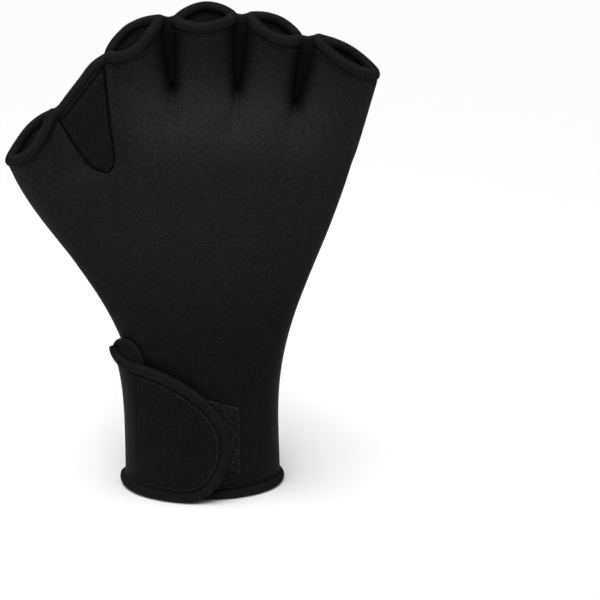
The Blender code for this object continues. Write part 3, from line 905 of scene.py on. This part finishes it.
def tongue_outline(count):
    """Seam round the tongue in the front view: down its left edge, round its foot and up its right edge."""
    lefts, rights = web_edges("thumb_web", 12)
    line = [point for point in lefts[::-1] if point.z > TONGUE_FOOT[0][1] + 0.003]
    line += [Vector((x, 0.0, z)) for x, z in TONGUE_FOOT]
    line += [point for point in rights if point.z > TONGUE_FOOT[-1][1] + 0.006]
    return smooth_path(line, count, False)


def web_tape_line(left_ring, right_ring):
    """Tape on a narrow web, dipping a little between one finger's tape and the next."""
    start = left_ring.nearest(12)
    end = right_ring.nearest(168)
    middle = (start + end) / 2 + Vector((0.0, 0.0008, -0.0010))
    return smooth_path([start, middle, end], 12, False)


def tongue_tape_line(thumb, index, lefts, rights, radius):
    """Tape on the tongue's top edge; its upper end runs into the index finger's palm-side tape."""
    along = (rights[-1] - lefts[-1]).normalized()
    square = Vector((-along.z, 0.0, along.x))
    line = [thumb.nearest(-12)]
    line += [lefts[-1].lerp(rights[-1], share) + square * radius * 0.8 for share in (0.12, 0.35, 0.6, 0.85)]
    line += [index.nearest(angle) for angle in (-172, -150, -128)]
    return smooth_path(line, 60, False)


# Strap


def wrist(cloth, turn, height, stand):
    """Point standing off the cloth at an angle in degrees, from the wrist's thumb side over the palm."""
    angle = math.radians(turn)
    spoke = Vector((-CUFF_HALF_WIDTH * math.cos(angle), -CUFF_HALF_DEPTH * math.sin(angle), 0.0))
    axis = Vector((0.0, 0.0, height))
    hit = cloth.ray_cast(axis + spoke * 2, -spoke.normalized())[0]
    out = Vector((-math.cos(angle) / CUFF_HALF_WIDTH, -math.sin(angle) / CUFF_HALF_DEPTH, 0.0)).normalized()
    return (hit or axis + spoke) + out * stand


def turn_at(x, stand=STRAP_STAND):
    return math.degrees(math.acos(max(-1.0, min(1.0, -x / (CUFF_HALF_WIDTH + stand)))))


def strap_span(turn, inset):
    """Lowest and highest point of the strap at an angle round the wrist, its edge moved in by inset."""
    x = -(CUFF_HALF_WIDTH + STRAP_STAND) * math.cos(math.radians(turn))
    tip = STRAP_REACH - inset
    share = max(0.0, min(1.0, (x + STRAP_SHOULDER) / (tip + STRAP_SHOULDER)))
    low_share = max(0.0, min(1.0, (x + STRAP_HEM_START) / (tip + STRAP_HEM_START)))
    across, up = STRAP_CURVE
    high = STRAP_TIP_HEIGHT + (STRAP_HEIGHT - inset - STRAP_TIP_HEIGHT) * (1 - share**across) ** up
    low = STRAP_TIP_HEIGHT - (STRAP_TIP_HEIGHT - STRAP_HEM - inset) * math.sqrt(1 - low_share**2)
    return low, high


def strap_turns(start, inset, count):
    tip = turn_at(STRAP_REACH - inset)
    return [mix(start, tip, math.sin(math.pi / 2 * i / count)) for i in range(count + 1)]


def strap_edge(inset, start, count):
    """Angle and height round the strap's edge: over the top, round the tip and back along the hem."""
    turns = strap_turns(start, inset, count)
    upper = [(turn, strap_span(turn, inset)[1]) for turn in turns]
    lower = [(turn, strap_span(turn, inset)[0]) for turn in turns[:-1]]
    return upper + lower[::-1]


def strap_stand(turn, root):
    """The strap lies on the cloth at its root and stands off it further round."""
    return mix(-STRAP_ROOT_SINK, STRAP_STAND, ease((turn - root) / -root))


# Operators


class GLOVE_OT_cloth(bpy.types.Operator):
    """Make the glove's hollow cloth, its tongue and its webs"""

    bl_idname = "glove.cloth"
    bl_label = "Cloth"

    def execute(self, context):
        scene = context.scene
        settings = scene.glove_cloth
        material = cloth_material(scene)
        lefts, rights = web_edges("thumb_web", 24)
        bm = welded("glove_body")
        self.crease_folds(bm, settings.fold_crease)
        mesh = subdivided("cloth_shell", bm, settings.levels)
        tongue = lefts + rights[::-1]
        for vertex in mesh.vertices:
            vertex.co = leaned(scene, self.shaped(vertex.co, tongue, settings))
        self.relax(mesh, settings.relax_size)
        self.tuck_rims(scene, mesh)
        mesh.update()
        self.mark(scene, mesh)
        self.mark_painted_light(mesh, settings)
        new_piece("cloth_shell", mesh, material, ("glove_body",))
        # The tongue's cloth gets a faint painted highlight
        crown, painted_light = settings.tongue_crown, settings.tongue_painted_highlight
        self.add_web(scene, "thumb_web", "tongue", crown, TONGUE_DEPTH, painted_light)
        # The narrow webs' cloth is darkened all over with painted shade
        for name in WEBS:
            self.add_web(scene, name, name.replace("web", "web_cloth"), settings.web_crown, WALL, WEB_PAINTED_SHADE)
        return {"FINISHED"}

    def crease_folds(self, bm, crease):
        layer = bm.edges.layers.float.new("crease_edge")
        for edge in bm.edges:
            if len(edge.link_faces) == 2 and edge.is_convex and edge.calc_face_angle() > math.radians(48):
                edge[layer] = crease

    def shaped(self, place, tongue, settings):
        """A vertex after the tubes beside the tongue are flattened and the cloth gets its soft waves."""
        side = 1.0 if place.y > 0 else -1.0
        depth = abs(place.y)
        near = outline_distance(place, tongue) / settings.flat_band
        if near < 1.0 and depth > 0.0005:
            depth = FLAT_LEVEL + (depth - FLAT_LEVEL) * mix(settings.flat_share, 1.0, ease(near))
        spot = Vector((place.x, side * 0.04, place.z * 0.6)) / settings.wave_size
        wave = noise.noise(spot) + 0.5 * noise.noise(spot * 2.1)
        room = ease((depth - 0.004) / 0.004) * ease((place.z - 0.004) / 0.012)
        depth += settings.undulation * wave * room
        return Vector((place.x, side * depth, place.z))

    def relax(self, mesh, size):
        """Evens out the cloth's depth below the webs, where the folds run out."""
        crotches = []
        for name in WEBS + ("thumb_web",):
            lefts, rights = web_edges(name, 8)
            crotches.append((lefts[0] + rights[0]) / 2)
        weights = {}
        for vertex in mesh.vertices:
            for crotch in crotches:
                near = math.hypot(vertex.co.x - crotch.x, vertex.co.z - crotch.z) / size
                below = ease((crotch.z + 0.001 - vertex.co.z) / 0.003)
                if near < 1.0 and below > 0.0:
                    weights[vertex.index] = (1 - ease(near)) * below
        linked_to = {index: [] for index in weights}
        for edge in mesh.edges:
            first, second = edge.vertices
            if first in weights:
                linked_to[first].append(second)
            if second in weights:
                linked_to[second].append(first)
        for _ in range(RELAX_PASSES):
            moved = {}
            for index, weight in weights.items():
                mean = sum(mesh.vertices[other].co.y for other in linked_to[index]) / len(linked_to[index])
                moved[index] = mix(mesh.vertices[index].co.y, mean, weight)
            for index, depth in moved.items():
                mesh.vertices[index].co.y = depth

    def tuck_rims(self, scene, mesh):
        """Draws the back rims of the openings up under their tapes."""
        reach = scene.glove_tape.radius * 0.75
        for ring in rings(scene).values():
            tree = point_tree(smooth_path(ring.points, 260, True))
            for vertex in mesh.vertices:
                if vertex.co.y < ring.centre.y + RIM_BEHIND or vertex.normal.dot(ring.up) < 0.4:
                    continue
                point, _, distance = tree.find(vertex.co)
                if reach < distance < RIM_REACH:
                    vertex.co = point + (vertex.co - point) * (reach / distance)

    def mark_painted_light(self, mesh, settings):
        """Stores painted highlight over the palm and knuckles and painted shade in the folds beside the webs.
        """
        tongue = tongue_outline(24)
        outlines = []
        for name in WEBS:
            lefts, rights = web_edges(name, 12)
            foot = (lefts[0] + rights[0]) / 2 - Vector((0.0, 0.0, settings.fold_shade_reach))
            outlines.append(([foot] + lefts + rights[::-1], foot.z))
        layer = mesh.attributes.new("painted_light", "FLOAT", "POINT")
        for vertex in mesh.vertices:
            place = vertex.co
            # Painted highlight: paler over the wide palm, fading towards the tips, with paler spots over the
            # knuckles
            palm = ease((place.z - PALM_RISE[0]) / PALM_RISE[1])
            tips = ease((place.z - TIP_FALL[0]) / TIP_FALL[1])
            value = settings.hand_painted_highlight * palm * (1 - 0.6 * tips)
            for x, z in KNUCKLES:
                across = (place.x - x) / settings.knuckle_highlight_size
                up = (place.z - z) / settings.knuckle_highlight_size
                value += settings.knuckle_painted_highlight * math.exp(-(across**2 + up**2))
            # Painted shade: the knit darkens in the folds beside each web
            for outline, foot in outlines:
                if place.z > foot and abs(place.x - outline[0].x) < 0.020:
                    near = outline_distance(place, outline) / settings.fold_shade_width
                    strength = ease((place.z - foot) / settings.fold_shade_reach)
                    value = mix(value, FOLD_PAINTED_SHADE, (1 - ease(near)) * strength)
            # The tongue keeps its own faint painted highlight
            if place.z < TONGUE_TOP and outline_distance(place, tongue) == 0.0:
                value = settings.tongue_painted_highlight
            layer.data[vertex.index].value = value

    def mark(self, scene, mesh):
        """Stores each point's distance from the groove below the tapes, and which points face sideways."""
        lines = [ring.points for ring in rings(scene).values()] + [cuff_line(scene)]
        tree = point_tree([point for line in lines for point in smooth_path(line, 260, True)])
        groove = math.hypot(scene.glove_stitch.drop, WALL / 2)
        rim = mesh.attributes.new("rim_mm", "FLOAT", "POINT")
        side = mesh.attributes.new("side", "FLOAT", "POINT")
        for vertex in mesh.vertices:
            distance = tree.find(vertex.co)[2]
            rim.data[vertex.index].value = min(5.0, (distance - groove) * 1000)
            side.data[vertex.index].value = 1.0 if abs(vertex.normal.x) > 0.8 else 0.0

    def add_web(self, scene, node_name, name, crown, edge_depth, painted_light):
        """Double layer of cloth in a slot, tucked into the seams on both sides, with one even level of
        painted light.
        """
        rows, columns = 24, 10
        lefts, rights = web_edges(node_name, rows)
        tuck = scene.glove_cloth.tuck
        down = (lefts[0] + rights[0] - lefts[2] - rights[2]).normalized() * scene.glove_cloth.foot
        for edge in (lefts, rights):
            up = (edge[-1] - edge[-3]).normalized() * tuck
            edge.insert(0, edge[0] + down)
            edge.append(edge[-1] + up)
        front, back = [], []
        for i, (left, right) in enumerate(zip(lefts, rights)):
            along = (right - left).normalized()
            left = left - along * tuck
            right = right + along * tuck
            near_top = ease((i / (len(lefts) - 1) - WEB_TOP_START) / WEB_TOP_FADE)
            thinned = mix(1.0, WEB_TOP_SHARE, near_top) if i else WEB_FOOT_SHARE
            line = []
            for k in range(columns + 1):
                share = (1 - math.cos(math.pi * k / columns)) / 2
                bulge = math.sin(math.pi * share) ** 0.6 * ease(4 * i / rows)
                line.append((left.lerp(right, share), (edge_depth + crown * bulge) * thinned))
            front.append([point + Vector((0.0, -depth, 0.0)) for point, depth in line])
            back.append([point + Vector((0.0, depth, 0.0)) for point, depth in line])
        mesh = even_cloth(subdivided(name, grid_solid(front, back), 1), painted_light)
        new_piece(name, mesh, cloth_material(scene), (node_name,))


def outline_distance(place, outline):
    """Distance in the front view from a point to a closed outline, 0 inside it."""
    inside = False
    nearest = 1.0
    for start, end in zip(outline, outline[1:] + outline[:1]):
        dx, dz = end.x - start.x, end.z - start.z
        length = dx * dx + dz * dz
        along = (place.x - start.x) * dx + (place.z - start.z) * dz
        share = max(0.0, min(1.0, along / length)) if length else 0.0
        nearest = min(nearest, math.hypot(place.x - start.x - dx * share, place.z - start.z - dz * share))
        if (start.z > place.z) != (end.z > place.z):
            if place.x < start.x + dx * (place.z - start.z) / dz:
                inside = not inside
    return 0.0 if inside else nearest


class GLOVE_OT_tapes(bpy.types.Operator):
    """Bind the openings, the webs and the cuff with ribbed tape"""

    bl_idname = "glove.tapes"
    bl_label = "Tapes"

    def execute(self, context):
        scene = context.scene
        openings = rings(scene)
        for finger, ring in openings.items():
            tape_piece(scene, f"{finger}_tape", [(ring.points, True)], (f"{finger}_binding",))
        for name, left, right in zip(WEBS, FINGERS[1:4], FINGERS[2:5]):
            line = web_tape_line(openings[left], openings[right])
            tape_piece(scene, name.replace("web", "web_tape"), [(line, False)], (f"{name}_binding",))
        radius = scene.glove_tape.radius - 0.00004
        line = tongue_tape_line(openings["thumb"], openings["index"], *web_edges("thumb_web", 24), radius)
        tape_piece(scene, "tongue_tape", [(line, False)], ("thumb_web_binding",), radius)
        tape_piece(scene, "cuff_tape", [(cuff_line(scene), True)], ("cuff_binding",))
        return {"FINISHED"}


class GLOVE_OT_strap(bpy.types.Operator):
    """Make the wrist strap with its tape, its wavy cover stitch and its seams"""

    bl_idname = "glove.strap"
    bl_label = "Wrist Strap"

    def execute(self, context):
        scene = context.scene
        settings = scene.glove_strap
        cloth = surface_tree("cloth_shell")
        self.add_cloth(scene, cloth)
        radius = scene.glove_tape.radius
        upper, lower = (strap_edge(radius, turn, 40) for turn in STRAP_TAPE_TURNS)
        line = [Vector(point) for point in STRAP_NUB]
        line += [wrist(cloth, turn, height, STRAP_STAND) for turn, height in upper[:41] + lower[41:]]
        line += [wrist(cloth, turn, radius, stand) for turn, stand in STRAP_TAPE_END]
        line = smooth_path(line, 200, False)
        tape_piece(scene, "strap_tape", [(line, False)], ("strap_binding",))
        thread = material_named("thread", thread_material)
        wave = line_mesh("cover_stitch", [(self.cover_stitch(settings, cloth), False)])
        mesh = grown("cover_stitch", wave, ribbed_tape_group, {**COVER_THREAD, "Material": thread})
        new_piece("cover_stitch", mesh, thread)
        self.add_seams(settings, cloth)
        return {"FINISHED"}

    def add_seams(self, settings, cloth):
        """Tubes of painted shade along grooves: one where the strap is sewn to the cuff, one beside its tape.
        """
        stand = STRAP_STAND + settings.thickness / 2 - SEAM_SINK
        (low_turn, low), (high_turn, high) = STRAP_SEAM
        shares = [i / 30 for i in range(31)]
        root = [wrist(cloth, mix(low_turn, high_turn, t), mix(low, high, t), stand) for t in shares]
        edge = strap_edge(settings.groove_inset, turn_at(GROOVE_START), 60)
        beside = smooth_path([wrist(cloth, turn, height, stand) for turn, height in edge], 300, False)
        groove_piece("strap_seams", [root, beside], STRAP_GROOVE)

    def add_cloth(self, scene, cloth):
        settings = scene.glove_strap
        rows, columns = 20, 60
        inset = scene.glove_tape.radius * 1.3
        front, back = [], []
        for turn in strap_turns(settings.root_turn, inset, columns):
            low, high = strap_span(turn, inset)
            low = mix(low, 0.0045, 1 - ease((turn - settings.root_turn) / 30))
            stand = strap_stand(turn, settings.root_turn)
            line = [mix(low, high, i / rows) for i in range(rows + 1)]
            half = settings.thickness / 2
            front.append([wrist(cloth, turn, height, stand + half) for height in line])
            back.append([wrist(cloth, turn, height, stand - half) for height in line])
        mesh = even_cloth(subdivided("strap_cloth", grid_solid(front, back), 1))
        new_piece("strap_cloth", mesh, cloth_material(scene), ("wrist_strap",))

    def cover_stitch(self, settings, cloth):
        """Wavy line on the strap's face along its edge."""
        edge = strap_edge(settings.cover_inset, turn_at(COVER_START), 60)
        stand = STRAP_STAND + settings.thickness / 2 - COVER_SINK
        base = smooth_path([wrist(cloth, turn, height, stand) for turn, height in edge], 420, False)
        length = path_length(base)
        result = []
        for i, point in enumerate(base):
            along = (base[min(i + 1, len(base) - 1)] - base[max(i - 1, 0)]).normalized()
            out = Vector((point.x / CUFF_HALF_WIDTH**2, point.y / CUFF_HALF_DEPTH**2, 0.0)).normalized()
            swing = math.sin(2 * math.pi * i / len(base) * length / settings.wave_pitch)
            result.append(point + along.cross(out).normalized() * settings.wave_depth * swing)
        return result


class GLOVE_OT_slit_tab(bpy.types.Operator):
    """Make the folded end of the wrist slit above the strap"""

    bl_idname = "glove.slit_tab"
    bl_label = "Slit Tab"

    def execute(self, context):
        scene = context.scene
        cloth = surface_tree("cloth_shell")
        arch = smooth_path([Vector(point) for point in SLIT_ARCH], 60, False)
        tape_piece(scene, "slit_tape", [(arch, False)], ("slit_binding",), SLIT_TAPE_RADIUS)
        nub = [Vector(point) for point in STRAP_NUB]
        for turn in TAB_TURNS:
            nub.append(wrist(cloth, turn, strap_span(turn, scene.glove_tape.radius)[1], STRAP_STAND))
        self.add_cloth(scene, arch[2::2], smooth_path(nub, len(arch[2::2]), False))
        return {"FINISHED"}

    def add_cloth(self, scene, upper, lower):
        """Crumpled cloth between the arch and the start of the strap's tape."""
        rows = 8
        front, back = [], []
        for high, low in zip(upper, lower):
            line = []
            for i in range(rows + 1):
                point = low.lerp(high, i / rows)
                crumple = 0.0006 * noise.noise(point * 260.0)
                hollow = 0.0008 * math.sin(math.pi * i / rows)
                line.append(point + Vector((0.0, crumple + hollow, 0.0)))
            front.append([point + Vector((0.0, -0.0005, 0.0)) for point in line])
            back.append([point + Vector((0.0, 0.0011, 0.0)) for point in line])
        mesh = even_cloth(subdivided("slit_cloth", grid_solid(front, back), 1))
        new_piece("slit_cloth", mesh, cloth_material(scene), ("slit_tab",))


class GLOVE_OT_patch(bpy.types.Operator):
    """Make the fuzzy patch that the strap closes on"""

    bl_idname = "glove.patch"
    bl_label = "Loop Patch"

    def execute(self, context):
        scene = context.scene
        settings = scene.glove_pile
        material = material_named("loop_pile", pile_material, "loop_pile", PILE_DARK, PILE_LIGHT)
        yarn = material_named("loop_yarn", pile_material, "loop_yarn", YARN_DARK, YARN_LIGHT)
        bm = welded("loop_patch")
        crease = bm.edges.layers.float.new("crease_edge")
        for edge in bm.edges:
            if edge.calc_face_angle(0.0) > math.radians(60):
                edge[crease] = 0.9
        mesh = subdivided("pile_base", bm, 2)
        for vertex in mesh.vertices:
            vertex.co = leaned(scene, vertex.co)
        base = mesh.copy()
        new_piece("pile_base", mesh, material, ("loop_patch",))
        values = {
            "Density": settings.density,
            "Loop Radius": settings.loop_radius,
            "Thread": settings.thread,
            "Seed": settings.seed,
            "Material": yarn,
        }
        loops = grown("pile_loops", base, pile_group, values)
        new_piece("pile_loops", loops, yarn)
        return {"FINISHED"}


class GLOVE_OT_stitches(bpy.types.Operator):
    """Sew the tapes down with rows of stitches"""

    bl_idname = "glove.stitches"
    bl_label = "Stitches"

    def execute(self, context):
        scene = context.scene
        settings = scene.glove_stitch
        cloth = surface_tree("cloth_shell")
        lines = []
        for ring in rings(scene).values():
            for side in (-1, 1):
                line = self.round_opening(cloth, ring, settings, side)
                lines.append((line, False))
        height = scene.glove_tape.radius + settings.drop
        cuff = [wrist(cloth, 360.0 * i / 140, height, settings.radius * 0.4) for i in range(140)]
        lines.append((cuff, True))
        thread = material_named("thread", thread_material)
        values = {
            "Pitch": settings.pitch,
            "Length": settings.length,
            "Radius": settings.radius,
            "Material": thread,
        }
        mesh = grown("stitches", line_mesh("stitches", lines), stitch_group, values)
        new_piece("stitches", mesh, thread)
        self.add_tongue_seam(cloth)
        return {"FINISHED"}

    def add_tongue_seam(self, cloth):
        """Tubes of painted shade in the sunken seams round the tongue and below its tape, on the palm side
        and the back.
        """
        panel = surface_tree("tongue")
        lefts, rights = web_edges("thumb_web", 12)
        along = (rights[-1] - lefts[-1]).normalized()
        below = Vector((along.z, 0.0, -along.x)) * TONGUE_GROOVE_DROP
        top = [lefts[-1].lerp(rights[-1], mix(0.04, 0.97, i / 60)) + below for i in range(61)]
        outline = tongue_outline(110)
        lines = []
        for side, places in ((-1, outline), (1, outline), (-1, top), (1, top)):
            away = Vector((0.0, -side, 0.0))
            line = []
            for place in places:
                start = place - away * 0.05
                hits = [tree.ray_cast(start, away)[0] for tree in (cloth, panel)]
                depths = [hit.y * side for hit in hits if hit]
                if depths:
                    line.append(Vector((place.x, side * max(depths), place.z)))
            lines.append(smooth_path(line[::3], 160, False))
        groove_piece("tongue_seam", lines, TONGUE_GROOVE)

    def round_opening(self, cloth, ring, settings, side):
        """Line on the palm side (-1) or the back (1) just below an opening's tape."""
        result = []
        for step in range(41):
            angle = side * mix(22.0, 158.0, step / 40)
            point = ring.nearest(angle)
            out = point - ring.centre
            out -= ring.up * out.dot(ring.up)
            out.normalize()
            reach = mix(0.006, 0.016, abs(math.sin(math.radians(angle))))
            start = point - ring.up * settings.drop + out * reach
            hit = cloth.ray_cast(start, -out)[0]
            if hit:
                result.append(hit + out * settings.radius * 0.7)
        return smooth_path(result, 80, False)


class GLOVE_OT_stage(bpy.types.Operator):
    """Set up the floor, the lights and the camera"""

    bl_idname = "glove.stage"
    bl_label = "Stage"

    def execute(self, context):
        scene = context.scene
        settings = scene.glove_stage
        bm = bmesh.new()
        bmesh.ops.create_grid(bm, x_segments=1, y_segments=1, size=FLOOR_HALF)
        mesh = bpy.data.meshes.new("floor")
        bm.to_mesh(mesh)
        bm.free()
        mesh.materials.append(floor_material())
        linked("floor", mesh)
        world = bpy.data.worlds.new("white_studio")
        world.use_nodes = True
        surroundings = world.node_tree.nodes["Background"]
        surroundings.inputs["Color"].default_value = WHITE
        seen = add(world.node_tree, "ShaderNodeLightPath").outputs["Is Camera Ray"]
        strength = add(world.node_tree, "ShaderNodeMix", {0: seen, 2: settings.world, 3: 1.0}).outputs[0]
        world.node_tree.links.new(strength, surroundings.inputs["Strength"])
        scene.world = world
        sun = bpy.data.lights.new("overhead", "SUN")
        sun.energy = settings.sun
        sun.angle = math.radians(SUN_ANGLE)
        linked("overhead", sun).rotation_euler = tuple(math.radians(angle) for angle in SUN_TURN)
        key = bpy.data.lights.new("key", "AREA")
        key.shape = "RECTANGLE"
        key.size, key.size_y = KEY_SIZE
        key.energy = settings.key
        key.spread = math.radians(KEY_SPREAD)
        box = linked("key", key)
        box.location = KEY_PLACE
        box.rotation_euler = (Vector(KEY_AIM) - box.location).to_track_quat("-Z", "Y").to_euler()
        data = bpy.data.cameras.new("camera")
        data.lens = settings.lens
        data.sensor_width = SENSOR_WIDTH
        camera = linked("camera", data)
        camera.location = (settings.sideways, -settings.distance, settings.height)
        camera.rotation_euler = (math.radians(90 - settings.tilt), 0.0, 0.0)
        scene.camera = camera
        scene.view_settings.view_transform = "Standard"
        return {"FINISHED"}


class GLOVE_PT_panel(bpy.types.Panel):
    """The glove's operators in the order in which they run"""

    bl_label = "Swim Glove"
    bl_idname = "GLOVE_PT_panel"
    bl_space_type = "VIEW_3D"
    bl_region_type = "UI"
    bl_category = "Glove"

    def draw(self, context):
        for operator in OPERATORS:
            self.layout.operator(operator.bl_idname)


OPERATORS = (
    GLOVE_OT_cloth,
    GLOVE_OT_tapes,
    GLOVE_OT_strap,
    GLOVE_OT_slit_tab,
    GLOVE_OT_patch,
    GLOVE_OT_stitches,
    GLOVE_OT_stage,
)
SETTINGS = {
    "glove_cloth": ClothSettings,
    "glove_tape": TapeSettings,
    "glove_stitch": StitchSettings,
    "glove_strap": StrapSettings,
    "glove_pile": PileSettings,
    "glove_stage": StageSettings,
}


def register():
    for name, settings in SETTINGS.items():
        bpy.utils.register_class(settings)
        setattr(bpy.types.Scene, name, PointerProperty(type=settings))
    for operator in OPERATORS:
        bpy.utils.register_class(operator)
    bpy.utils.register_class(GLOVE_PT_panel)


def unregister():
    bpy.utils.unregister_class(GLOVE_PT_panel)
    for operator in reversed(OPERATORS):
        bpy.utils.unregister_class(operator)
    for name, settings in reversed(SETTINGS.items()):
        delattr(bpy.types.Scene, name)
        bpy.utils.unregister_class(settings)


def main():
    register()
    bpy.ops.glove.cloth()
    bpy.ops.glove.tapes()
    bpy.ops.glove.strap()
    bpy.ops.glove.slit_tab()
    bpy.ops.glove.patch()
    bpy.ops.glove.stitches()
    bpy.ops.glove.stage()


if __name__ == "__main__":
    main()
